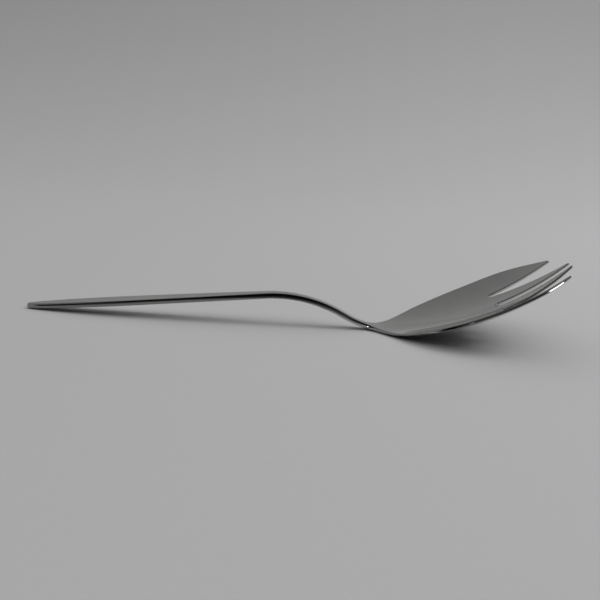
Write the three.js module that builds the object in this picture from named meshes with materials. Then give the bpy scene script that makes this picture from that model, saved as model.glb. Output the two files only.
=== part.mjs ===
// A fish serving fork: one piece of polished stainless steel, built as the regions a cutler names.
// Millimetres. +X runs from the butt of the handle to the tines and +Z is up. The fork lies as it rests on a table,
// on its butt and the belly of its bowl, and the origin is under the middle of its box.
import * as THREE from "three";
import { mergeVertices } from "three/addons/utils/BufferGeometryUtils.js";

// Handle: a straight bar with a blunt leaf-shaped end
const GRIP_LENGTH = 107;
const GRIP_WIDTH = 10.3;
const WIDEST_FROM_BUTT = 44;
const BUTT_WIDTH = 2.8;
const HANDLE_THICKNESS = 2.3;

// Neck: arches over, drops straight for a little and turns up again in the heel
const ARCH_RADIUS = 60;
const NECK_DROP = THREE.MathUtils.degToRad(33);
const NECK_RUN = 4.5;
const HEEL_RADIUS = 39;
const HEEL_BEFORE_BOWL = 7.7;
const NECK_WIDTH = 4.9;

// Bowl: flares out to the roots of the slots and is dished along and across
const BOWL_LENGTH = 60.5;
const HEAD_RADIUS = 129;
const HEAD_WIDTH = 55.3;
const HEAD_THICKNESS = 1.45;
const FLARE_EASE_AT_NECK = 10;
const FLARE_EASE_AT_SLOTS = 45;
const DISH_DEPTH = 6;
const DISH_POWER = 2.25;
const DISH_RUN_IN = 25;
const THINNING_BEFORE_BOWL = 10;
const THINNING_RUN = 30;

// Tines: two inner ones beside the middle slot, two broader outer ones beyond the side slots
const INNER_TINE_LENGTH = 37.1;
const OUTER_TINE_LENGTH = 32.2;
const MIDDLE_SLOT_WIDTH = 4;
const SIDE_SLOT_WIDTH = 2;
const SIDE_SLOT_FROM_MIDDLE = 12.6;
const INNER_TIP_FROM_MIDDLE = 2.5;
const OUTER_TIP_FROM_MIDDLE = 15.7;
const TIP_WIDTH = 1.2;
const INNER_TINE_BELLY = 0.95;
const OUTER_TINE_BELLY = 0.4;
const OUTER_EDGE_POWER = 2.3;
const BLUNT_TIP = 0.35;

// Fineness of the meshes, in steps along, across and through the steel
const HANDLE_STEPS = [26, 4, 4];
const NECK_STEPS = [18, 4, 4];
const BOWL_STEPS = [22, 16, 4];
const TINE_STEPS = [16, 4, 4];
const REST_SAMPLES = 400;

// Places along the middle of the steel, measured from the butt
const BOWL_START = GRIP_LENGTH + ARCH_RADIUS * NECK_DROP + NECK_RUN + HEEL_BEFORE_BOWL;
const SLOT_ROOTS = BOWL_START + BOWL_LENGTH;
const INNER_TIPS = SLOT_ROOTS + INNER_TINE_LENGTH;
const HEAD_ARC = INNER_TIPS;

// The middle of the steel as stretches of [length, turn], straight or on a round arc
const STRETCHES = [
  [GRIP_LENGTH, 0],
  [ARCH_RADIUS * NECK_DROP, -NECK_DROP],
  [NECK_RUN, 0],
  [HEEL_RADIUS * NECK_DROP, NECK_DROP],
  [HEAD_ARC, HEAD_ARC / HEAD_RADIUS],
];

const { clamp, lerp, smoothstep } = THREE.MathUtils;

// Where the middle of the steel is at the distance s from the butt, and which way it heads there
function spineAt(s) {
  let x = 0;
  let z = 0;
  let heading = 0;
  let left = s;
  for (const [length, turn] of STRETCHES) {
    const step = Math.min(left, length);
    const half = (turn * step) / length / 2;
    const chord = half ? (step * Math.sin(half)) / half : step;
    x += chord * Math.cos(heading + half);
    z += chord * Math.sin(heading + half);
    heading += 2 * half;
    left -= step;
  }
  return { x, z, heading };
}

function thicknessAt(s) {
  const thinned = clamp((s - BOWL_START + THINNING_BEFORE_BOWL) / THINNING_RUN, 0, 1);
  return lerp(HANDLE_THICKNESS, HEAD_THICKNESS, thinned);
}

// A point of the steel: s along its middle, y across, n through its thickness. The head is dished across.
function steelAt(s, y, n) {
  const { x, z, heading } = spineAt(s);
  const depth = DISH_DEPTH * smoothstep(s, BOWL_START, BOWL_START + DISH_RUN_IN);
  const reach = Math.abs(y) / (HEAD_WIDTH / 2);
  const rise = depth * reach ** DISH_POWER;
  const slope = y ? (rise * DISH_POWER) / y : 0;
  const level = 1 / Math.hypot(1, slope);
  const up = rise + n * level;
  return new THREE.Vector3(x - Math.sin(heading) * up, y - slope * level * n, z + Math.cos(heading) * up);
}

// A closed strip of steel with round edges. edgesAt(u) gives, for u from 0 to 1 along the strip, the place s, the two
// edges low and high across it, and how full its thickness is.
function strip(name, steps, edgesAt) {
  const geometry = new THREE.BoxGeometry(1, 1, 1, ...steps);
  geometry.deleteAttribute("normal");
  geometry.deleteAttribute("uv");
  const solid = mergeVertices(geometry, 1e-6);
  const corners = solid.getAttribute("position");
  for (let i = 0; i < corners.count; i++) {
    const { s, low, high, full = 1 } = edgesAt(corners.getX(i) + 0.5);
    const across = 2 * corners.getY(i);
    const angle = Math.PI * corners.getZ(i);
    const half = (high - low) / 2;
    const thick = (thicknessAt(s) * full) / 2;
    const round = Math.min(thick, half);
    const bulge = Math.abs(across) === 1 ? across * round * Math.cos(angle) : 0;
    const y = (low + high) / 2 + across * (half - round) + bulge;
    const point = steelAt(s, y, thick * Math.sin(angle));
    corners.setXYZ(i, point.x, point.y, point.z);
  }
  solid.computeVertexNormals();
  const mesh = new THREE.Mesh(solid, steel());
  mesh.name = name;
  return mesh;
}

function steel() {
  return new THREE.MeshStandardMaterial({ color: 0xb4b6b7, roughness: 0.12, metalness: 1 });
}

// Half the width of the handle and neck: an ellipse cut off at the butt, then a straight taper
function barHalfWidth(s) {
  const widest = GRIP_WIDTH / 2;
  if (s < WIDEST_FROM_BUTT) {
    const reach = WIDEST_FROM_BUTT / Math.sqrt(1 - (BUTT_WIDTH / GRIP_WIDTH) ** 2);
    return widest * Math.sqrt(1 - ((WIDEST_FROM_BUTT - s) / reach) ** 2);
  }
  return lerp(widest, NECK_WIDTH / 2, (s - WIDEST_FROM_BUTT) / (BOWL_START - WIDEST_FROM_BUTT));
}

function handle() {
  return strip("handle", HANDLE_STEPS, (u) => {
    const s = GRIP_LENGTH * u * u * (2 - u);
    const half = barHalfWidth(s);
    return { s, low: -half, high: half };
  });
}

function neck() {
  return strip("neck", NECK_STEPS, (u) => {
    const s = lerp(GRIP_LENGTH, BOWL_START, u);
    const half = barHalfWidth(s);
    return { s, low: -half, high: half };
  });
}

function bowl() {
  const flare = new THREE.CubicBezierCurve(
    new THREE.Vector2(BOWL_START, NECK_WIDTH / 2),
    new THREE.Vector2(BOWL_START + FLARE_EASE_AT_NECK, NECK_WIDTH / 2),
    new THREE.Vector2(SLOT_ROOTS - FLARE_EASE_AT_SLOTS, HEAD_WIDTH / 2),
    new THREE.Vector2(SLOT_ROOTS, HEAD_WIDTH / 2),
  );
  return strip("bowl", BOWL_STEPS, (u) => {
    const { x, y } = flare.getPoint(u);
    return { s: x, low: -y, high: y };
  });
}

// How far the round root of a slot still closes it on each side, at the distance d past the root
function rootFillet(d, slotWidth) {
  const radius = slotWidth / 2;
  return d < radius ? radius - Math.sqrt(radius ** 2 - (radius - d) ** 2) : 0;
}

// An edge of a tine that leads from the root to the tip with a belly half-way
function tineEdge(root, tip, belly, t) {
  return lerp(root, tip, t) + 4 * belly * t * (1 - t);
}

// side is 1 for the far tines and -1 for the near ones, edges(t, d) gives the edge nearest the middle and the other
function tine(name, side, length, edges) {
  return strip(name, TINE_STEPS, (u) => {
    const t = (1 - Math.cos(Math.PI * u)) / 2;
    const d = length * t;
    const toTip = clamp((2 * (length - d)) / TIP_WIDTH, 0, 1);
    const full = Math.max(BLUNT_TIP, Math.sqrt(1 - (1 - toTip) ** 2));
    const [near, far] = edges(t, d);
    const middle = (near + far) / 2;
    const half = ((far - near) / 2) * full;
    const ends = [side * (middle - half), side * (middle + half)];
    return { s: SLOT_ROOTS + d, low: Math.min(...ends), high: Math.max(...ends), full };
  });
}

function innerTine(name, side) {
  return tine(name, side, INNER_TINE_LENGTH, (t, d) => {
    const middleSlot = rootFillet(d, MIDDLE_SLOT_WIDTH);
    const sideSlot = rootFillet(d, SIDE_SLOT_WIDTH);
    const outerRoot = SIDE_SLOT_FROM_MIDDLE - SIDE_SLOT_WIDTH / 2;
    return [
      tineEdge(MIDDLE_SLOT_WIDTH / 2, INNER_TIP_FROM_MIDDLE - TIP_WIDTH / 2, 0, t) - middleSlot,
      tineEdge(outerRoot, INNER_TIP_FROM_MIDDLE + TIP_WIDTH / 2, INNER_TINE_BELLY, t) + sideSlot,
    ];
  });
}

function outerTine(name, side) {
  return tine(name, side, OUTER_TINE_LENGTH, (t, d) => {
    const innerRoot = SIDE_SLOT_FROM_MIDDLE + SIDE_SLOT_WIDTH / 2;
    const tipEdge = OUTER_TIP_FROM_MIDDLE + TIP_WIDTH / 2;
    return [
      tineEdge(innerRoot, OUTER_TIP_FROM_MIDDLE - TIP_WIDTH / 2, OUTER_TINE_BELLY, t) - rootFillet(d, SIDE_SLOT_WIDTH),
      lerp(HEAD_WIDTH / 2, tipEdge, t ** OUTER_EDGE_POWER),
    ];
  });
}

// How far the straight handle tilts up from the table when butt and belly both touch it
function restTilt() {
  const underside = (s) => steelAt(s, 0, -thicknessAt(s) / 2);
  const butt = underside(0);
  let tilt = -Infinity;
  for (let i = 0; i <= REST_SAMPLES; i++) {
    const point = underside(lerp(GRIP_LENGTH, INNER_TIPS, i / REST_SAMPLES));
    tilt = Math.max(tilt, Math.atan2(butt.z - point.z, point.x - butt.x));
  }
  return tilt;
}

const fork = new THREE.Group();
fork.add(handle(), neck(), bowl());
fork.add(outerTine("tine_1", 1), innerTine("tine_2", 1), innerTine("tine_3", -1), outerTine("tine_4", -1));
fork.rotation.y = -restTilt();

const part = new THREE.Group();
part.add(fork);
part.updateMatrixWorld(true);
const box = new THREE.Box3().setFromObject(part, true);
fork.position.set(-(box.min.x + box.max.x) / 2, 0, -box.min.z);

export default part;
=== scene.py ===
"""Looks of a fish serving fork: one piece of polished stainless steel on a pale grey paper sweep."""
import math

import bpy
import numpy as np
from bpy.props import FloatProperty, FloatVectorProperty, PointerProperty
from bpy.types import Operator, Panel, PropertyGroup
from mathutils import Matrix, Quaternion, Vector


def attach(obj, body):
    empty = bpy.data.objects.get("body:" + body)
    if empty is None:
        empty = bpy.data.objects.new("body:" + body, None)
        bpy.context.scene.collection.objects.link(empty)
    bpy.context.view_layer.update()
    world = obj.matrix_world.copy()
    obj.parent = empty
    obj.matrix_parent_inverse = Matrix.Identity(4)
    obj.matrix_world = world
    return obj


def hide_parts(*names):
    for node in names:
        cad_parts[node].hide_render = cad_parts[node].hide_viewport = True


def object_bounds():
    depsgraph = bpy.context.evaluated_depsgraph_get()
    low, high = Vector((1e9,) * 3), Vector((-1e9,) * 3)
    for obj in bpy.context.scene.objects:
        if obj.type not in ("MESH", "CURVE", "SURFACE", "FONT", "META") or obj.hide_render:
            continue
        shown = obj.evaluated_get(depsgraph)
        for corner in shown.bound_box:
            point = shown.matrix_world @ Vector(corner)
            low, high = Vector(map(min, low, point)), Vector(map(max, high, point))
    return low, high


bl_info = {
    "name": "Fish Serving Fork",
    "version": (1, 0, 0),
    "blender": (4, 5, 0),
    "location": "3D View > Sidebar > Fork",
    "description": "Dresses the packed fish serving fork in polished steel and sets its studio stage",
    "category": "Object",
}

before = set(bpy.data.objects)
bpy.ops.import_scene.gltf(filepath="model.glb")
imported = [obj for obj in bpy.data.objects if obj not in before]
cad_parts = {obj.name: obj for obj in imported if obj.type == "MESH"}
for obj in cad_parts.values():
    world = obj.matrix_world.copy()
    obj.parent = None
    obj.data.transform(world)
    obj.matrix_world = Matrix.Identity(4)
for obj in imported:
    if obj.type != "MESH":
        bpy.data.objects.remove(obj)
CAD_LOW, CAD_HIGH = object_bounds()

MM = 0.001
BODY = "root"
# How far each point is ground. The same share paints shade: the lower edges and side walls of handle and neck
# get a darker colour
GROUND_AND_SHADE_SHARE = "ground_share"

# The tines, counted from the far side of the photograph to the near side
TINES = (1, 2, 3, 4)
INNER_TINES = (2, 3)
NEAR_TINES = (3, 4)

# Fineness of the meshes, in steps
EDGE_STEPS = 7
FLAT_STEPS = 8
STRIP_STEPS = 2 * EDGE_STEPS + FLAT_STEPS
BUTT_STEPS = 5
HANDLE_STEPS = 64
NECK_STEPS = 44
BOWL_STEPS = 60
ROOT_STEPS = 12
TINE_STEPS = 28
TIP_STEPS = 6
REST_STEPS = 400
PAPER_BEND_STEPS = 32

# How much the rows of the mesh crowd towards the butt and towards the slot roots, 1 being evenly spaced
HANDLE_CROWDING = 1.6
BOWL_CROWDING = 1.15

# Fineness of the outline that the edges are measured from, and how far it runs on past the butt
BAR_SAMPLES = 160
FLARE_SAMPLES = 2001
FLARE_STRIDE = 8
PAST_BUTT = 5 * MM

# Below these a piece of the outline has no length, and the two faces of the steel meet
LEAST_SQUARE = 1e-18
LEAST_GAP = 1e-9

# Width over which the side walls of the steel lean
WALL_LEAN = 0.01 * MM

# Length over which the edges change from neck to bowl, and how far before the bowl their roundings start to
EDGE_CHANGE = 20 * MM
CHANGE_BEFORE_BOWL = 5 * MM

# Share of the arch at which its upper edges are rounded deepest
CROWN_PLACE = 0.25

# Width of an edge against its depth, and how round it is, 2 being an ellipse and 1 a bevel
HANDLE_EDGE = (0.9, 1.35)
HEAD_EDGE = (0.65, 2)
LOWER_EDGE = (1.4, 1.25)

# Shares of the bowl's length between which its lower edges become shallow
LOWER_FADE = (0.33, 0.57)

# Most that the upper edge, and both edges together, take of half the thickness, and an edge of half the width
UPPER_EDGE_MOST = 1.7
BOTH_EDGES_MOST = 1.96
EDGE_WIDTH_MOST = 0.9

# Most that an edge's close columns take of a strip's width, and most that they spread on a leaning side
EDGE_COLUMNS_MOST = 0.45
EDGE_SPREAD_MOST = 2

# Place of each lamp, what it looks at and its two sides, in metres, and its spread in degrees
LAMPS = {
    "right_lamp": ((0.8, 0.1, 0.8), (0, 0, 0), (0.4, 0.4), 180),
    "tine_glint": ((0.2045, -0.0715, 0.1325), (0.107, -0.022, 0.029), (0.051, 0.043), 180),
    "heel_glint": ((-0.107, -0.343, 0.162), (0.018, -0.003, 0.002), (0.06, 0.06), 10),
    "backdrop_lamp": ((0.8, 0.3, 1.3), (0.8, 1.35, 1.0), (1.2, 0.3), 180),
}

# Lamps that only glint in the steel. The others light the paper and are not mirrored.
GLINTS = ("tine_glint", "heel_glint")

# The room that the steel mirrors, as smooth ramps over the direction: along which axis, where each starts and
# ends, and the grey there, which is a number or an earlier ramp. Where walls overlap, the brightest is seen.
ROOM_RAMPS = {
    "ceiling": ("Z", 0.85, 0.65, 0.004, 0.07),
    "front_left": ("X", -0.65, -0.73, 0.004, 0.25),
    "beside": ("Y", -0.4, -0.1, "front_left", 0.25),
    "left": ("X", -0.34, -0.57, "ceiling", "beside"),
    "right": ("X", 0.58, 0.8, 0.004, 0.3),
    "far": ("Y", 0.0, 0.3, 0.0, "height"),
    "low_right": ("Z", 0.55, 0.4, 0.0, 0.3),
    "near_right": ("X", 0.4, 0.56, 0.0, "low_right"),
    "low_front": ("Z", 0.48, 0.34, 0.0, 0.25),
    "front": ("aside", 0.3, 0.15, 0.0, "low_front"),
}
WALLS = ("left", "right", "far", "near_right", "front")

# How the far wall dims evenly with height: where it starts and ends, and the grey there
FAR_WALL = (0.25, 0.9, 0.4, 0.262)

# The soft light from above: how far it leans back, and between which heights it sets in
SKY_LEAN = 0.2
SKY_EDGE = (0.3, 0.7)

# Strength of the plain grey that the camera sees past the paper
BACKGROUND_GREY = 0.36

# Sockets of a Mix node, which share their names and so go by number: for numbers, then for colours
MIX_FACTOR, MIX_A, MIX_B = 0, 2, 3
MIX_COLOUR_A, MIX_COLOUR_B, MIXED_COLOUR = 6, 7, 2


def linear_rgb(hex_code):
    """Turns an sRGB hex value into linear red, green and blue."""
    parts = [int(hex_code[i:i + 2], 16) / 255 for i in (0, 2, 4)]
    return [c / 12.92 if c <= 0.04045 else ((c + 0.055) / 1.055) ** 2.4 for c in parts]


def length(name, description, millimetres):
    """A property for a length, whose default is given in millimetres."""
    return FloatProperty(
        name=name,
        description=description,
        default=millimetres * MM,
        min=0,
        precision=5,
        unit="LENGTH",
        subtype="DISTANCE",
    )


def colour(name, description, hex_code):
    """A property for a colour, whose default is given as an sRGB hex value."""
    return FloatVectorProperty(
        name=name,
        description=description,
        default=linear_rgb(hex_code),
        min=0,
        max=1,
        size=3,
        subtype="COLOR",
    )


def share(name, description, default):
    """A property for a number between nothing and one."""
    return FloatProperty(name=name, description=description, default=default, min=0, max=1, subtype="FACTOR")


def power(name, description, watts):
    """A property for the power of a lamp."""
    return FloatProperty(name=name, description=description, default=watts, min=0, unit="POWER")


class HandleSizes(PropertyGroup):
    """Straight grip with a blunt leaf-shaped end."""

    grip_length: length("Grip length", "Butt to the start of the arch", 107)
    grip_width: length("Grip width", "Widest place of the handle", 10.3)
    widest_from_butt: length("Widest from butt", "Where the handle is widest", 44)
    butt_width: length("Butt width", "Width of the blunt end", 2.8)
    butt_rounding: length("Butt rounding", "Radius that breaks the edge of the blunt end", 0.5)
    thickness: length("Thickness", "Steel thickness of the handle", 2.3)
    upper_rounding: length("Upper rounding", "Depth of the rounded upper edges of the handle", 1.1)
    lower_rounding: length("Lower rounding", "Depth of the rounded lower edges of the handle", 0.3)
    crown: length("Crown", "How much deeper the upper edges are rounded on the arch", 0.8)
    crown_reach: length("Crown reach", "How far along the steel that reaches", 26)


class NeckSizes(PropertyGroup):
    """Arch, straight drop and heel between handle and bowl."""

    arch_radius: length("Arch radius", "Radius of the arch at the end of the grip", 60)
    drop: FloatProperty(
        name="Drop",
        description="Turn of the neck down from the grip",
        default=math.radians(33),
        unit="ROTATION",
        subtype="ANGLE",
    )
    run: length("Run", "Straight stretch between arch and heel", 4.5)
    heel_radius: length("Heel radius", "Radius of the turn back up into the bowl", 39)
    heel_before_bowl: length("Heel before bowl", "How far the heel reaches before the flare", 7.7)
    width: length("Neck width", "Narrowest place of the neck", 4.9)


class BowlSizes(PropertyGroup):
    """Dished head between the neck and the slot roots."""

    length: length("Bowl length", "Start of the flare to the slot roots", 60.5)
    curve_radius: length("Curve radius", "Radius of the upward curve of the head", 129)
    width: length("Head width", "Width across the slot roots", 54.82)
    thickness: length("Head thickness", "Steel thickness of the head", 1.45)
    flare_ease_at_neck: length("Flare ease at neck", "How gently the flare leaves the neck", 10)
    flare_ease_at_slots: length("Flare ease at slots", "How gently the flare reaches the full width", 45)
    dish_depth: length("Dish depth", "How far the rim stands above the middle", 6)
    dish_power: FloatProperty(
        name="Dish power",
        description="How flat the middle of the dish is, 2 being a parabola",
        default=2.25,
        min=1.5,
        max=4,
    )
    dish_run_in: length("Dish run-in", "How soon the dish is at its full depth", 25)
    thinning_before_bowl: length("Thinning before bowl", "Where the steel starts to thin", 10)
    thinning_run: length("Thinning run", "Length over which the steel thins", 30)
    upper_rounding: length("Upper rounding", "Depth of the rounded upper edges of the head", 0.5)
    lower_rounding: length("Lower rounding", "Depth of the rounded lower edges at the heel", 1.2)


class TineSizes(PropertyGroup):
    """Two inner tines beside the middle slot and two broader outer ones."""

    inner_length: length("Inner length", "Slot root to tip of an inner tine", 37.08)
    outer_length: length("Outer length", "Slot root to tip of an outer tine", 32.2)
    middle_slot_width: length("Middle slot width", "Width of the middle slot at its root", 4)
    side_slot_width: length("Side slot width", "Width of a side slot at its root", 2)
    side_slot_from_middle: length("Side slot from middle", "Root of a side slot to the middle line", 12.6)
    inner_tip_from_middle: length("Inner tip from middle", "Tip of an inner tine to the middle line", 2.5)
    outer_tip_from_middle: length("Outer tip from middle", "Tip of an outer tine to the middle line", 15.7)
    tip_width: length("Tip width", "Width of a tip before it is rounded", 1.2)
    inner_belly: length("Inner belly", "Swell of an inner tine towards the side slot", 0.95)
    outer_belly: length("Outer belly", "Swell of an outer tine's edge at the side slot", 0.4)
    outer_edge_power: FloatProperty(
        name="Outer edge power",
        description="How late the outer edge turns in to the tip",
        default=2.3,
        min=1,
        max=5,
    )
    blunt_tip: share("Blunt tip", "Width left at the very end of a tip", 0.15)
    tip_thickness: share("Tip thickness", "Thickness left at the tips", 0.7)
    root_rounding: length("Root rounding", "Depth of the rounded lower edges at the slot roots", 0.2)
    tip_rounding: length("Tip rounding", "Depth of the rounded lower edges at the tips", 0.4)


class SteelFinish(PropertyGroup):
    """Polished stainless steel."""

    bright: colour("Bright steel", "Well buffed steel", "C9C9C7")
    hazed: colour("Hazed steel", "Steel with a trace of handling on it", "C0C1C0")
    buffed_roughness: share("Buffed roughness", "Roughness where the polish is best", 0.07)
    hazed_roughness: share("Hazed roughness", "Roughness where the polish is hazed", 0.12)
    # The ground colour is partly painted shade: it darkens the lower edges and side walls of handle and neck
    ground_and_shade: colour("Ground steel", "Side walls that were ground but not buffed", "9A9A99")
    ground_roughness: share("Ground roughness", "Roughness of the ground side walls", 0.4)


class StageLook(PropertyGroup):
    """Paper sweep, lamps and soft light."""

    paper: colour("Paper", "Colour of the paper sweep", "AAAAAA")
    bend_distance: length("Bend distance", "Middle of the fork to the bend of the paper", 450)
    bend_radius: length("Bend radius", "Radius of the bend of the paper", 900)
    bend: FloatProperty(
        name="Bend",
        description="How far the paper turns up behind the fork",
        default=math.radians(60),
        unit="ROTATION",
        subtype="ANGLE",
    )
    sweep_reach: length("Sweep reach", "How far the paper reaches to the sides and the front", 3000)
    right_lamp: power("Right lamp", "Power of the soft lamp on the right", 4.0)
    sky: FloatProperty(
        name="Sky",
        description="Strength of the soft light from above and behind",
        default=1.34,
        min=0,
    )
    tine_glint: power("Tine glint", "Power of the small lamp that glints in the near tine", 0.0276)
    heel_glint: power("Heel glint", "Power of the small lamp that glints in the heel", 0.0016)
    backdrop_lamp: power("Backdrop lamp", "Power of the lamp on the backdrop", 4.0)


class ForkSettings(PropertyGroup):
    """All settings of the fork and its stage."""

    handle: PointerProperty(type=HandleSizes)
    neck: PointerProperty(type=NeckSizes)
    bowl: PointerProperty(type=BowlSizes)
    tines: PointerProperty(type=TineSizes)
    steel: PointerProperty(type=SteelFinish)
    stage: PointerProperty(type=StageLook)


def stations(fork):
    """Distances from the butt to the start of the bowl, to the slot roots and to the inner tips."""
    bend = fork.neck.arch_radius * fork.neck.drop
    bowl_start = fork.handle.grip_length + bend + fork.neck.run + fork.neck.heel_before_bowl
    slot_roots = bowl_start + fork.bowl.length
    return bowl_start, slot_roots, slot_roots + fork.tines.inner_length


def spine(fork, s):
    """Place and heading of the middle of the steel at the distances s from the butt."""
    drop = fork.neck.drop
    tips = stations(fork)[2]
    stretches = (
        (fork.handle.grip_length, 0),
        (fork.neck.arch_radius * drop, -drop),
        (fork.neck.run, 0),
        (fork.neck.heel_radius * drop, drop),
        (tips, tips / fork.bowl.curve_radius),
    )
    x = np.zeros_like(s)
    z = np.zeros_like(s)
    heading = np.zeros_like(s)
    left = s.copy()
    for run, turn in stretches:
        step = np.minimum(left, run)
        half = turn * step / run / 2
        chord = step * np.sinc(half / np.pi)
        x += chord * np.cos(heading + half)
        z += chord * np.sin(heading + half)
        heading += 2 * half
        left -= step
    return x, z, heading


def ramp(values, start, end):
    """Shares that rise from 0 at the start to 1 at the end and stay level beyond."""
    return np.clip((values - start) / (end - start), 0, 1)


def eased(t):
    """Shares from 0 to 1 with a smooth start and end."""
    return t * t * (3 - 2 * t)


def thickness(fork, s):
    """Steel thickness, which thins from the handle to the head and on to the tips."""
    start, roots, tips = stations(fork)
    thins_from = start - fork.bowl.thinning_before_bowl
    thinned = ramp(s, thins_from, thins_from + fork.bowl.thinning_run)
    head = fork.bowl.thickness * (1 - (1 - fork.tines.tip_thickness) * ramp(s, roots, tips))
    return fork.handle.thickness + (head - fork.handle.thickness) * thinned


def head_share(fork, s):
    """How far the edges have changed from those of the handle to those of the head."""
    changes_from = stations(fork)[0] - CHANGE_BEFORE_BOWL
    return ramp(s, changes_from, changes_from + EDGE_CHANGE)


def edge_depths(fork, s):
    """Depths of the upper edges, deepest on the arch, and of the lower edges, deepest at the heel."""
    handle = fork.handle
    bowl = fork.bowl
    tines = fork.tines
    start, roots, tips = stations(fork)
    crown_place = handle.grip_length + CROWN_PLACE * fork.neck.arch_radius * fork.neck.drop
    crown = handle.crown * np.exp(-((s - crown_place) / handle.crown_reach) ** 2)
    faded = eased(ramp((s - start) / bowl.length, *LOWER_FADE))
    head_lower = bowl.lower_rounding + (tines.root_rounding - bowl.lower_rounding) * faded
    head_lower += (tines.tip_rounding - tines.root_rounding) * ramp(s, roots, tips) ** 2
    along = head_share(fork, s)
    upper = handle.upper_rounding + (bowl.upper_rounding - handle.upper_rounding) * along + crown
    return upper, handle.lower_rounding + (head_lower - handle.lower_rounding) * along


def edge_forms(fork, s):
    """Width against depth and roundness of the upper edges, and the same of the lower ones."""
    along = head_share(fork, s)
    upper = [on_handle + (on_head - on_handle) * along for on_handle, on_head in zip(HANDLE_EDGE, HEAD_EDGE)]
    return upper, LOWER_EDGE


def edge_widths(fork, s):
    """Widths over which the steel thins to its edges."""
    forms = edge_forms(fork, s)
    return np.maximum(*(fullness * depth for (fullness, _), depth in zip(forms, edge_depths(fork, s))))


def bend_steel(fork, s, y, n):
    """Bends flat steel to shape: s along it, y across it and n through it. The head is dished across."""
    x, z, heading = spine(fork, s)
    start = stations(fork)[0]
    depth = fork.bowl.dish_depth * eased(ramp(s, start, start + fork.bowl.dish_run_in))
    reach = np.abs(y) / (fork.bowl.width / 2)
    rise = depth * reach ** fork.bowl.dish_power
    slope = np.divide(rise * fork.bowl.dish_power, y, out=np.zeros_like(y), where=y != 0)
    level = 1 / np.hypot(1, slope)
    up = rise + n * level
    return np.stack([x - np.sin(heading) * up, y - slope * level * n, z + np.cos(heading) * up], axis=-1)


def rest_tilt(fork):
    """How far the straight handle tilts up from the table when butt and belly both touch it."""
    s = np.linspace(fork.handle.grip_length, stations(fork)[2], REST_STEPS + 1)
    s = np.insert(s, 0, 0.0)
    under = bend_steel(fork, s, np.zeros_like(s), -thickness(fork, s) / 2)
    return np.max(np.arctan2(under[0, 2] - under[1:, 2], under[1:, 0] - under[0, 0]))


def lay_on_table(fork, points):
    """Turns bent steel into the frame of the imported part, where the fork rests on butt and belly."""
    tilt = rest_tilt(fork)
    half = fork.handle.thickness / 2
    x, y, z = np.moveaxis(points, -1, 0)
    return np.stack(
        [
            CAD_LOW.x + half * math.sin(tilt) + x * math.cos(tilt) - z * math.sin(tilt),
            y,
            CAD_LOW.z + half * math.cos(tilt) + x * math.sin(tilt) + z * math.cos(tilt),
        ],
        axis=-1,
    )


def bar_half_width(fork, s):
    """Half the width of handle and neck: an ellipse cut off at the butt, then a straight taper."""
    widest = fork.handle.grip_width / 2
    place = fork.handle.widest_from_butt
    reach = place / math.sqrt(1 - (fork.handle.butt_width / fork.handle.grip_width) ** 2)
    leaf = widest * np.sqrt(np.clip(1 - ((place - s) / reach) ** 2, 0, 1))
    taper = widest + (fork.neck.width / 2 - widest) * (s - place) / (stations(fork)[0] - place)
    return np.where(s < place, leaf, taper)


def flare(fork):
    """Outline of the bowl: places along the steel and half-widths there."""
    start, roots, _ = stations(fork)
    bowl = fork.bowl
    u = np.linspace(0, 1, FLARE_SAMPLES)
    weights = ((1 - u) ** 3, 3 * u * (1 - u) ** 2, 3 * u * u * (1 - u), u ** 3)
    places = (start, start + bowl.flare_ease_at_neck, roots - bowl.flare_ease_at_slots, roots)
    halves = (fork.neck.width / 2, fork.neck.width / 2, bowl.width / 2, bowl.width / 2)
    return sum(w * p for w, p in zip(weights, places)), sum(w * h for w, h in zip(weights, halves))


def half_width(fork, s):
    """Half the width of the steel from the butt to the slot roots."""
    return np.where(s < stations(fork)[0], bar_half_width(fork, s), np.interp(s, *flare(fork)))


def root_fillet(d, slot_width):
    """How far the round root of a slot still closes it on each side, at the distances d past the root."""
    radius = slot_width / 2
    inside = np.clip(radius - d, 0, radius)
    return np.where(d < radius, radius - np.sqrt(radius ** 2 - inside ** 2), 0)


def tine_edge(root, tip, belly, t):
    """An edge of a tine that leads from root to tip with a belly half-way."""
    return root + (tip - root) * t + 4 * belly * t * (1 - t)


def inner_edges(fork, d):
    """Both edges of an inner tine, as distances from the middle line, at the distances d past the root."""
    tines = fork.tines
    t = d / tines.inner_length
    half_tip = tines.tip_width / 2
    side = tines.side_slot_from_middle - tines.side_slot_width / 2
    low = tine_edge(tines.middle_slot_width / 2, tines.inner_tip_from_middle - half_tip, 0, t)
    high = tine_edge(side, tines.inner_tip_from_middle + half_tip, tines.inner_belly, t)
    return low - root_fillet(d, tines.middle_slot_width), high + root_fillet(d, tines.side_slot_width)


def outer_edges(fork, d):
    """Both edges of an outer tine, as distances from the middle line, at the distances d past the root."""
    tines = fork.tines
    t = d / tines.outer_length
    half_tip = tines.tip_width / 2
    side = tines.side_slot_from_middle + tines.side_slot_width / 2
    rim = fork.bowl.width / 2
    low = tine_edge(side, tines.outer_tip_from_middle - half_tip, tines.outer_belly, t)
    high = rim + (tines.outer_tip_from_middle + half_tip - rim) * t ** tines.outer_edge_power
    return low - root_fillet(d, tines.side_slot_width), high


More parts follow.
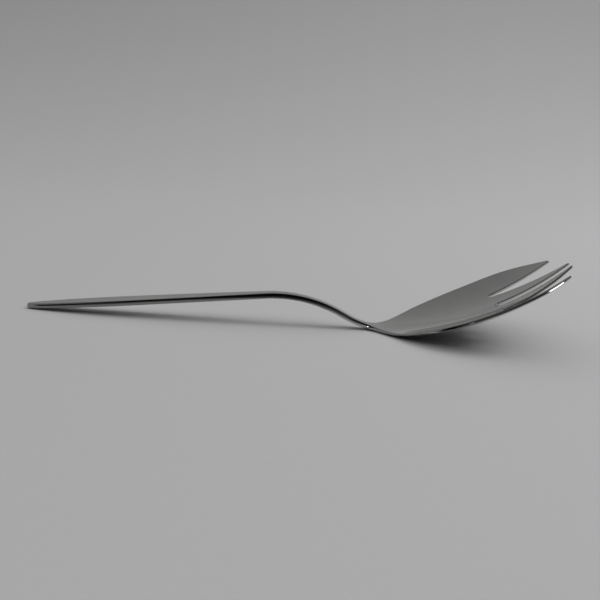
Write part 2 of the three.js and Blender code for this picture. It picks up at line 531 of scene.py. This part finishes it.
def tine_strip(fork, number):
    """Places along tine 1 to 4, its two edges across, low first, and half its width before the tip."""
    tines = fork.tines
    inner = number in INNER_TINES
    run = tines.inner_length if inner else tines.outer_length
    ease = 1 - np.cos(np.linspace(0, np.pi / 2, ROOT_STEPS + 1))
    tip = tines.tip_width / 2
    tip_ease = np.sin(np.linspace(0, np.pi / 2, TIP_STEPS + 1))
    root_part = tines.middle_slot_width / 2 * ease
    middle = np.linspace(root_part[-1], run - tip, TINE_STEPS + 1)[1:-1]
    d = np.concatenate([root_part, middle, run - tip + tip * tip_ease])
    low, high = (inner_edges if inner else outer_edges)(fork, d)
    to_tip = np.clip((run - d) / tip, 0, 1)
    full = np.maximum(tines.blunt_tip, np.sqrt(1 - (1 - to_tip) ** 2))
    middle = (low + high) / 2
    half = (high - low) / 2
    ends = middle - half * full, middle + half * full
    if number in NEAR_TINES:
        ends = -ends[1], -ends[0]
    return stations(fork)[1] + d, *ends, half


def outline(fork):
    """Outline of the flat steel as line pieces, from past the butt along both sides and round the tines."""
    bar = np.linspace(0, stations(fork)[0], BAR_SAMPLES)
    bar_half = half_width(fork, bar)
    flare_s, flare_half = (values[::FLARE_STRIDE] for values in flare(fork))
    side_s = np.concatenate([[-PAST_BUTT], bar, flare_s[1:]])
    side_y = np.concatenate([bar_half[:1], bar_half, flare_half[1:]])
    lines = [np.stack([side_s, sign * side_y], axis=1) for sign in (-1, 1)]
    for number in TINES:
        s, low, high, _ = tine_strip(fork, number)
        lines.append(np.stack([np.concatenate([s, s[::-1]]), np.concatenate([low, high[::-1]])], axis=1))
    return np.concatenate([np.stack([line[:-1], line[1:]], axis=1) for line in lines])


def from_outline(fork, s, y, reach):
    """Distance of rows of places on the flat steel from its outline, exact up to the given reach."""
    pieces = outline(fork)
    first = pieces[..., 0].min(axis=1)
    last = pieces[..., 0].max(axis=1)
    found = np.empty(s.shape)
    for i, row in enumerate(s[:, 0]):
        near = pieces[(last > row - reach) & (first < row + reach)]
        start = near[:, 0]
        along = near[:, 1] - start
        squared = np.maximum(np.einsum("ij,ij->i", along, along), LEAST_SQUARE)
        gap = np.stack([s[i], y[i]], axis=1)[:, None] - start
        t = np.clip(np.einsum("ijk,jk->ij", gap, along) / squared, 0, 1)
        found[i] = np.sqrt(np.min(np.sum((gap - t[..., None] * along) ** 2, axis=2), axis=1))
    return found


def columns(low, high, low_edge, high_edge):
    """Places across a strip for each row, close together over the widths of its two edges."""
    width = high - low
    most = EDGE_COLUMNS_MOST * width
    near = low[:, None] + edge_steps(np.minimum(low_edge, most))
    far = high[:, None] - edge_steps(np.minimum(high_edge, most))[:, ::-1]
    t = np.linspace(0, 1, FLAT_STEPS + 1)[1:-1]
    return np.hstack([near, near[:, -1:] * (1 - t) + far[:, :1] * t, far])


def edge_steps(width):
    """Steps in from the outline: to the top of the side wall, then closely over the rounding."""
    ease = 1 - np.cos(np.linspace(0, np.pi / 2, EDGE_STEPS))
    return np.hstack([np.zeros((len(width), 1)), WALL_LEAN + (width[:, None] - WALL_LEAN) * ease])


def section(fork, s, y, half):
    """Heights of the upper and lower face over the middle of the steel, and how far each face is ground and
    painted darker as shade.
    """
    thick = thickness(fork, s) / 2
    inside = np.maximum(from_outline(fork, s, y, reach=2 * fork.handle.thickness) - WALL_LEAN, 0)
    above, below = edge_depths(fork, s)
    above = np.minimum(above, np.minimum(UPPER_EDGE_MOST * thick, EDGE_WIDTH_MOST * half))
    below = np.minimum(below, np.minimum(BOTH_EDGES_MOST * thick - above, EDGE_WIDTH_MOST * half))
    shares_in = []
    heights = []
    for depth, (fullness, roundness) in zip((above, below), edge_forms(fork, s)):
        share_in = np.clip(inside / (fullness * depth), 0, 1)
        shares_in.append(share_in)
        heights.append(thick - depth + depth * (1 - (1 - share_in) ** roundness) ** (1 / roundness))
    # Handle and neck are ground on their side walls and lower edges, which makes them rougher and painted
    # darker as shade; this fades out at the bowl
    start = stations(fork)[0]
    ground_and_shade = 1 - ramp(s, start - EDGE_CHANGE, start)
    upper_ground_and_shade = ground_and_shade * (inside <= 0)
    lower_ground_and_shade = ground_and_shade * (1 - shares_in[1])
    return np.stack([heights[0], -heights[1], upper_ground_and_shade, lower_ground_and_shade], axis=-1)


def join_faces(heights, places):
    """Brings upper and lower face together half-way up the side wall."""
    on_edge = np.zeros(heights.shape[:2], dtype=bool)
    on_edge[places] = True
    heights[on_edge, :2] = heights[on_edge, :2].mean(axis=-1, keepdims=True)


def body_rows(fork):
    """Places along the steel from the butt to the slot roots, and the last rows of handle, neck and bowl."""
    start, roots, _ = stations(fork)
    rounding = fork.handle.butt_rounding
    grip = fork.handle.grip_length
    butt = rounding * (1 - np.cos(np.linspace(0, np.pi / 2, BUTT_STEPS + 1)))
    handle = rounding + (grip - rounding) * np.linspace(0, 1, HANDLE_STEPS + 1)[1:] ** HANDLE_CROWDING
    neck = np.linspace(grip, start, NECK_STEPS + 1)[1:]
    edge = float(edge_widths(fork, roots))
    near = edge_steps(np.array([edge]))[0]
    far = edge + (fork.bowl.length - edge) * np.linspace(0, 1, BOWL_STEPS + 1)[1:] ** BOWL_CROWDING
    bowl = (roots - np.concatenate([near, far]))[::-1][1:]
    rows = np.concatenate([butt, handle, neck, bowl])
    ends = np.cumsum([len(butt) + len(handle), len(neck), len(bowl)]) - 1
    return rows, ends


def body_grid(fork):
    """Flat grid of handle, neck and bowl with s, y, heights and grinding, and the last rows of the three."""
    rows, ends = body_rows(fork)
    half = half_width(fork, rows)
    tilted = np.hypot(1, np.gradient(half, rows))
    tilted[-1] = 1
    edge = edge_widths(fork, rows)
    split = fork.tines.side_slot_from_middle / (fork.bowl.width / 2)
    borders = [-half, -split * half, 0 * half, split * half, half]
    inner_edge = edge * half / half[-1]
    widths = [edge * tilted, inner_edge, inner_edge, inner_edge, edge * tilted]
    strips = [columns(borders[k], borders[k + 1], widths[k], widths[k + 1]) for k in range(len(TINES))]
    y = np.hstack([strips[0]] + [strip[:, 1:] for strip in strips[1:]])
    s = np.repeat(rows[:, None], y.shape[1], axis=1)
    heights = section(fork, s, y, half[:, None])
    join_faces(heights, (slice(None), [0, -1]))
    slots = [k * STRIP_STEPS for k in range(1, len(TINES))]
    join_faces(heights, (-1, slots))
    rounding = fork.handle.butt_rounding
    sunk = 1 - ramp(rows, 0, rounding)
    inset = rounding * (1 - np.sqrt(1 - sunk ** 2))
    y *= (1 - inset / half)[:, None]
    heights[..., :2] *= (1 - 2 * inset / thickness(fork, rows))[:, None, None]
    return np.dstack([s, y, heights]), ends


def tine_grid(fork, number):
    """Flat grid of a tine past its root row, as in the body's grid."""
    rows, low, high, half = tine_strip(fork, number)
    edge = edge_widths(fork, rows)
    spread = [np.hypot(1, np.gradient(side, rows)).clip(1, EDGE_SPREAD_MOST) for side in (low, high)]
    y = columns(low, high, edge * spread[0], edge * spread[1])[1:]
    s = np.repeat(rows[1:, None], y.shape[1], axis=1)
    heights = section(fork, s, y, half[1:, None])
    join_faces(heights, (slice(None), [0, -1]))
    join_faces(heights, -1)
    return np.dstack([s, y, heights])


def steel_skin(fork):
    """The whole skin: points, how far each is ground and painted darker as shade, its lower twin, and grids
    and faces by region.
    """
    body, (handle_end, neck_end, bowl_end) = body_grid(fork)
    flat = [body.reshape(-1, body.shape[-1])]
    count = len(flat[0])
    top = np.arange(count).reshape(body.shape[:2])
    grids = {
        "handle": top[:handle_end + 1],
        "neck": top[handle_end:neck_end + 1],
        "bowl": top[neck_end:bowl_end + 1],
    }
    for number in TINES:
        tine = tine_grid(fork, number)
        flat.append(tine.reshape(-1, tine.shape[-1]))
        first = (len(TINES) - number) * STRIP_STEPS
        root = top[-1, first:first + STRIP_STEPS + 1]
        new = count + np.arange(len(flat[-1])).reshape(tine.shape[:2])
        grids[f"tine_{number}"] = np.vstack([root, new])
        count += len(flat[-1])
    s, y, upper, lower, ground_and_shade_above, ground_and_shade_below = np.concatenate(flat).T

    apart = upper - lower > LEAST_GAP
    under = np.where(apart, count + np.cumsum(apart) - 1, np.arange(count))
    s, y = (np.concatenate([values, values[apart]]) for values in (s, y))
    ground_share = np.concatenate([ground_and_shade_above, ground_and_shade_below[apart]])
    points = lay_on_table(fork, bend_steel(fork, s, y, np.concatenate([upper, lower[apart]])))

    faces = {}
    for name, grid in grids.items():
        quads = np.stack([grid[:-1, :-1], grid[1:, :-1], grid[1:, 1:], grid[:-1, 1:]], axis=-1).reshape(-1, 4)
        faces[name] = np.concatenate([quads, under[quads][:, ::-1]])
    return points, ground_share, under, grids, faces


def cap(row, under, forward):
    """One face across the steel at a row of its mesh, looking along the fork or back."""
    lower = [int(under[i]) for i in row]
    upper = [int(i) for i in row[::-1] if under[i] != i]
    ring = lower + upper
    return ring if forward else ring[::-1]


def skin_normals(points, faces, butt):
    """Smooth normals of the whole skin, so that regions meet without a seam."""
    normals = np.zeros_like(points)
    quads = np.concatenate(list(faces.values()))
    corners = points[quads]
    facing = np.cross(corners[:, 2] - corners[:, 0], corners[:, 3] - corners[:, 1])
    for k in range(4):
        np.add.at(normals, quads[:, k], facing)
    normals[butt] += face_normal(points[butt]) * np.max(np.linalg.norm(facing, axis=1))
    return normals / np.linalg.norm(normals, axis=1, keepdims=True)


def face_normal(corners):
    """Unit normal of a flat face."""
    facing = np.sum(np.cross(corners, np.roll(corners, -1, axis=0)), axis=0)
    return facing / np.linalg.norm(facing)


def make_pieces(context, *names):
    """Builds regions of the skin as closed meshes that ride on the frame in place of their solids."""
    fork = context.scene.serving_fork
    points, ground_share, under, grids, faces = steel_skin(fork)
    butt = cap(grids["handle"][0], under, False)
    normals = skin_normals(points, faces, butt)
    for name in names:
        make_piece(context, name, points, ground_share, under, grids[name], faces[name], normals)


def make_piece(context, name, points, ground_share, under, grid, faces, normals):
    """Builds one region of the skin."""
    caps = [cap(grid[0], under, False)]
    if name == "bowl":
        for k in range(len(TINES)):
            caps.append(cap(grid[-1, k * STRIP_STEPS:(k + 1) * STRIP_STEPS + 1], under, True))
    elif name in ("handle", "neck"):
        caps.append(cap(grid[-1], under, True))
    rings = [[int(i) for i in dict.fromkeys(face)] for face in faces.tolist()]
    rings = [ring for ring in rings if len(ring) > 2]
    used = sorted({i for ring in rings + caps for i in ring})
    renumbered = {old: new for new, old in enumerate(used)}
    mesh = bpy.data.meshes.new(f"{name}_steel")
    mesh.from_pydata(points[used].tolist(), [], [[renumbered[i] for i in ring] for ring in rings + caps])
    if mesh.validate():
        raise RuntimeError(f"the mesh of {name} has bad faces")
    corner_normals = [normals[i] for ring in rings for i in ring]
    for ring in caps:
        corner_normals += [face_normal(points[ring])] * len(ring)
    mesh.shade_smooth()
    mesh.normals_split_custom_set(corner_normals)
    mesh.attributes.new(GROUND_AND_SHADE_SHARE, "FLOAT", "POINT").data.foreach_set("value", ground_share[used])
    piece = bpy.data.objects.new(f"{name}_steel", mesh)
    context.scene.collection.objects.link(piece)
    mesh.materials.append(polished_stainless_steel(context.scene.serving_fork.steel))
    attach(piece, BODY)
    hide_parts(name)


def add_node(tree, kind, inputs=None, links=None, **settings):
    """Adds a node with its settings and socket values, and links its inputs from (node, output) pairs."""
    node = tree.nodes.new(kind)
    for name, value in settings.items():
        setattr(node, name, value)
    for name, value in (inputs or {}).items():
        node.inputs[name].default_value = value
    for name, (source, output) in (links or {}).items():
        tree.links.new(source.outputs[output], node.inputs[name])
    return node


def new_material(name):
    """An empty node material and its tree."""
    material = bpy.data.materials.new(name)
    material.use_nodes = True
    material.node_tree.nodes.clear()
    return material, material.node_tree


def polished_stainless_steel(finish):
    """Chrome-nickel stainless steel, ground lengthwise and buffed to a mirror."""
    name = "buffed_stainless_steel"
    if name in bpy.data.materials:
        return bpy.data.materials[name]
    material, tree = new_material(name)
    # The buffed face mirrors the room almost sharply. Handling leaves faint cloudy haze a thumb wide,
    # and the grinding under the polish leaves lengthwise lines.
    haze_width = 14 * MM
    haze_from = 0.35
    haze_to = 0.7
    # Real grinding lines are about 0.05 mm apart, too fine for the picture, so they are drawn 0.5 mm apart.
    line_width = 0.5 * MM
    line_length = 30 * MM
    place = add_node(tree, "ShaderNodeTexCoord")
    haze = add_node(
        tree,
        "ShaderNodeTexNoise",
        inputs={"Scale": 1 / haze_width, "Detail": 4.0, "Roughness": 0.55},
        links={"Vector": (place, "Object")},
    )
    stretch = add_node(
        tree,
        "ShaderNodeMapping",
        inputs={"Scale": (1 / line_length, 1 / line_width, 1 / line_length)},
        links={"Vector": (place, "Object")},
    )
    lines = add_node(
        tree,
        "ShaderNodeTexNoise",
        inputs={"Scale": 1.0, "Detail": 2.0},
        links={"Vector": (stretch, "Vector")},
    )
    tone = add_node(tree, "ShaderNodeValToRGB", links={"Fac": (haze, "Fac")})
    tone.color_ramp.elements[0].position = haze_from
    tone.color_ramp.elements[0].color = (*finish.bright, 1)
    tone.color_ramp.elements[1].position = haze_to
    tone.color_ramp.elements[1].color = (*finish.hazed, 1)
    dulled = add_node(
        tree,
        "ShaderNodeMapRange",
        inputs={
            "From Min": haze_from,
            "From Max": haze_to,
            "To Min": finish.buffed_roughness,
            "To Max": finish.hazed_roughness,
        },
        links={"Value": (haze, "Fac")},
    )
    # Ground side walls and lower edges are rougher, and their darker colour is painted shade
    ground_share = add_node(tree, "ShaderNodeAttribute", attribute_name=GROUND_AND_SHADE_SHARE)
    satin = add_node(
        tree,
        "ShaderNodeMapRange",
        inputs={"To Max": finish.ground_roughness},
        links={"Value": (ground_share, "Fac"), "To Min": (dulled, "Result")},
    )
    shade = add_node(
        tree,
        "ShaderNodeMix",
        data_type="RGBA",
        inputs={MIX_COLOUR_B: (*finish.ground_and_shade, 1)},
        links={MIX_FACTOR: (ground_share, "Fac"), MIX_COLOUR_A: (tone, "Color")},
    )
    relief = add_node(
        tree,
        "ShaderNodeBump",
        inputs={"Strength": 0.05, "Distance": 0.01 * MM},
        links={"Height": (lines, "Fac")},
    )
    steel = add_node(
        tree,
        "ShaderNodeBsdfPrincipled",
        inputs={"Metallic": 1.0},
        links={
            "Base Color": (shade, MIXED_COLOUR),
            "Roughness": (satin, "Result"),
            "Normal": (relief, "Normal"),
        },
    )
    add_node(tree, "ShaderNodeOutputMaterial", links={"Surface": (steel, "BSDF")})
    return material


def matt_paper(stage):
    """Matt cartridge paper off a wide roll."""
    material, tree = new_material("matt_paper_roll")
    # Uncoated paper scatters light evenly, and its fibres give a faint mottle a few millimetres wide.
    mottle_width = 3 * MM
    darkest = 0.985
    lightest = 1.015
    place = add_node(tree, "ShaderNodeTexCoord")
    mottle = add_node(
        tree,
        "ShaderNodeTexNoise",
        inputs={"Scale": 1 / mottle_width, "Detail": 3.0},
        links={"Vector": (place, "Object")},
    )
    tone = add_node(tree, "ShaderNodeValToRGB", links={"Fac": (mottle, "Fac")})
    tone.color_ramp.elements[0].color = (*[darkest * c for c in stage.paper], 1)
    tone.color_ramp.elements[1].color = (*[lightest * c for c in stage.paper], 1)
    paper = add_node(
        tree,
        "ShaderNodeBsdfPrincipled",
        inputs={"Roughness": 0.9, "Specular IOR Level": 0.1},
        links={"Base Color": (tone, "Color")},
    )
    add_node(tree, "ShaderNodeOutputMaterial", links={"Surface": (paper, "BSDF")})
    return material


def lay_paper(context, stage):
    """Builds the paper sweep: a floor that bends up into a backdrop behind the fork."""
    reach = stage.sweep_reach
    turn = np.linspace(0, stage.bend, PAPER_BEND_STEPS + 1)
    profile = [(-reach, 0.0)]
    profile += [
        (stage.bend_distance + stage.bend_radius * math.sin(a), stage.bend_radius * (1 - math.cos(a)))
        for a in turn
    ]
    points = [(side * reach, y, z) for y, z in profile for side in (-1, 1)]
    faces = [(2 * i, 2 * i + 1, 2 * i + 3, 2 * i + 2) for i in range(len(profile) - 1)]
    mesh = bpy.data.meshes.new("paper_sweep")
    mesh.from_pydata(points, [], faces)
    mesh.shade_smooth()
    mesh.materials.append(matt_paper(stage))
    paper = bpy.data.objects.new("paper_sweep", mesh)
    context.scene.collection.objects.link(paper)


def aim(thing, target):
    """Turns a lamp or camera to look at a point."""
    thing.rotation_mode = "QUATERNION"
    thing.rotation_quaternion = (Vector(target) - thing.location).to_track_quat("-Z", "Y")


def hang_lamp(context, name, watts):
    """Hangs a soft rectangular lamp that glints in the steel or lights the paper."""
    place, target, sides, spread = LAMPS[name]
    lamp = bpy.data.lights.new(name, "AREA")
    lamp.shape = "RECTANGLE"
    lamp.size, lamp.size_y = sides
    lamp.energy = watts
    lamp.spread = math.radians(spread)
    hung = bpy.data.objects.new(name, lamp)
    hung.location = place
    hung.visible_camera = False
    hung.visible_glossy = name in GLINTS
    hung.visible_diffuse = name not in GLINTS
    aim(hung, target)
    context.scene.collection.objects.link(hung)


def light_room(context, stage):
    """Dim grey room that the steel mirrors, with soft light from above and behind for the paper."""
    world = bpy.data.worlds.new("dim_room")
    context.scene.world = world
    world.use_nodes = True
    world.cycles.sampling_method = "NONE"
    tree = world.node_tree
    tree.nodes.clear()
    place = add_node(tree, "ShaderNodeTexCoord")
    parts = add_node(tree, "ShaderNodeSeparateXYZ", links={"Vector": (place, "Generated")})
    aside = add_node(tree, "ShaderNodeMath", operation="ABSOLUTE", links={0: (parts, "X")})
    axes = {axis: (parts, axis) for axis in "XYZ"}
    axes["aside"] = (aside, "Value")
    ramp_sockets = ("From Min", "From Max", "To Min", "To Max")
    height = add_node(
        tree,
        "ShaderNodeMapRange",
        inputs=dict(zip(ramp_sockets, FAR_WALL)),
        links={"Value": axes["Z"]},
    )
    ramps = {"height": height}
    for name, (axis, *values) in ROOM_RAMPS.items():
        inputs = dict(zip(ramp_sockets, values))
        links = {"Value": axes[axis]}
        for socket in [socket for socket, value in inputs.items() if value in ramps]:
            links[socket] = (ramps[inputs.pop(socket)], "Result")
        ramps[name] = add_node(
            tree, "ShaderNodeMapRange", interpolation_type="SMOOTHSTEP", inputs=inputs, links=links
        )
    grey = ramps[WALLS[0]]
    for name in WALLS[1:]:
        grey = add_node(
            tree, "ShaderNodeMath", operation="MAXIMUM", links={0: (grey, 0), 1: (ramps[name], "Result")}
        )
    height_behind = add_node(
        tree,
        "ShaderNodeMath",
        operation="MULTIPLY_ADD",
        inputs={1: SKY_LEAN},
        links={0: axes["Y"], 2: axes["Z"]},
    )
    sky = add_node(
        tree,
        "ShaderNodeMapRange",
        interpolation_type="SMOOTHSTEP",
        inputs=dict(zip(ramp_sockets, (*SKY_EDGE, 0.0, stage.sky))),
        links={"Value": (height_behind, "Value")},
    )
    path = add_node(tree, "ShaderNodeLightPath")
    mirrored = add_node(
        tree,
        "ShaderNodeMix",
        links={MIX_FACTOR: (path, "Is Glossy Ray"), MIX_A: (sky, "Result"), MIX_B: (grey, 0)},
    )
    strength = add_node(
        tree,
        "ShaderNodeMix",
        inputs={MIX_B: BACKGROUND_GREY},
        links={MIX_FACTOR: (path, "Is Camera Ray"), MIX_A: (mirrored, "Result")},
    )
    room = add_node(tree, "ShaderNodeBackground", links={"Strength": (strength, "Result")})
    add_node(tree, "ShaderNodeOutputWorld", links={"Surface": (room, "Background")})


def set_camera(context):
    """Places the camera where the photograph was taken from. Its picture and focal length are in pixels."""
    target = Vector((2.19, 0.0, 11.5)) * MM
    distance = 336.65 * MM
    elevation = math.radians(14.4355)
    yaw = math.radians(0.13)
    roll = math.radians(3.5894)
    picture_width = 600
    focal_length = 754.33
    camera = bpy.data.cameras.new("camera")
    camera.sensor_width = 36
    camera.lens = focal_length * camera.sensor_width / picture_width
    camera.clip_start = 0.01
    camera.clip_end = 20
    stand = bpy.data.objects.new("camera", camera)
    way = Vector(
        (math.sin(yaw) * math.cos(elevation), -math.cos(yaw) * math.cos(elevation), math.sin(elevation))
    )
    stand.location = target + distance * way
    aim(stand, target)
    stand.rotation_quaternion = stand.rotation_quaternion @ Quaternion((0, 0, 1), roll)
    context.scene.collection.objects.link(stand)
    context.scene.camera = stand


class FORK_OT_handle(Operator):
    """Builds the steel of the handle"""

    bl_idname = "fork.handle"
    bl_label = "Handle"

    def execute(self, context):
        make_pieces(context, "handle")
        return {"FINISHED"}


class FORK_OT_neck(Operator):
    """Builds the steel of the neck"""

    bl_idname = "fork.neck"
    bl_label = "Neck"

    def execute(self, context):
        make_pieces(context, "neck")
        return {"FINISHED"}


class FORK_OT_bowl(Operator):
    """Builds the steel of the dished bowl"""

    bl_idname = "fork.bowl"
    bl_label = "Bowl"

    def execute(self, context):
        make_pieces(context, "bowl")
        return {"FINISHED"}


class FORK_OT_tines(Operator):
    """Builds the steel of the four tines"""

    bl_idname = "fork.tines"
    bl_label = "Tines"

    def execute(self, context):
        make_pieces(context, *(f"tine_{number}" for number in TINES))
        return {"FINISHED"}


class FORK_OT_stage(Operator):
    """Lays the paper sweep, hangs the lamps and sets the camera"""

    bl_idname = "fork.stage"
    bl_label = "Stage"

    def execute(self, context):
        stage = context.scene.serving_fork.stage
        lay_paper(context, stage)
        light_room(context, stage)
        for name in LAMPS:
            hang_lamp(context, name, getattr(stage, name))
        set_camera(context)
        context.scene.view_settings.view_transform = "Standard"
        return {"FINISHED"}


class FORK_PT_sidebar(Panel):
    """Lists the pieces of the fork and its stage"""

    bl_idname = "FORK_PT_sidebar"
    bl_label = "Fish Serving Fork"
    bl_space_type = "VIEW_3D"
    bl_region_type = "UI"
    bl_category = "Fork"

    def draw(self, context):
        for step in STEPS:
            self.layout.operator(step.bl_idname)


STEPS = (FORK_OT_handle, FORK_OT_neck, FORK_OT_bowl, FORK_OT_tines, FORK_OT_stage)
GROUPS = (HandleSizes, NeckSizes, BowlSizes, TineSizes, SteelFinish, StageLook, ForkSettings)
CLASSES = (*GROUPS, *STEPS, FORK_PT_sidebar)


def register():
    for kind in CLASSES:
        bpy.utils.register_class(kind)
    bpy.types.Scene.serving_fork = PointerProperty(type=ForkSettings)


def unregister():
    del bpy.types.Scene.serving_fork
    for kind in reversed(CLASSES):
        bpy.utils.unregister_class(kind)


def main():
    register()
    bpy.ops.fork.handle()
    bpy.ops.fork.neck()
    bpy.ops.fork.bowl()
    bpy.ops.fork.tines()
    bpy.ops.fork.stage()


if __name__ == "__main__":
    main()
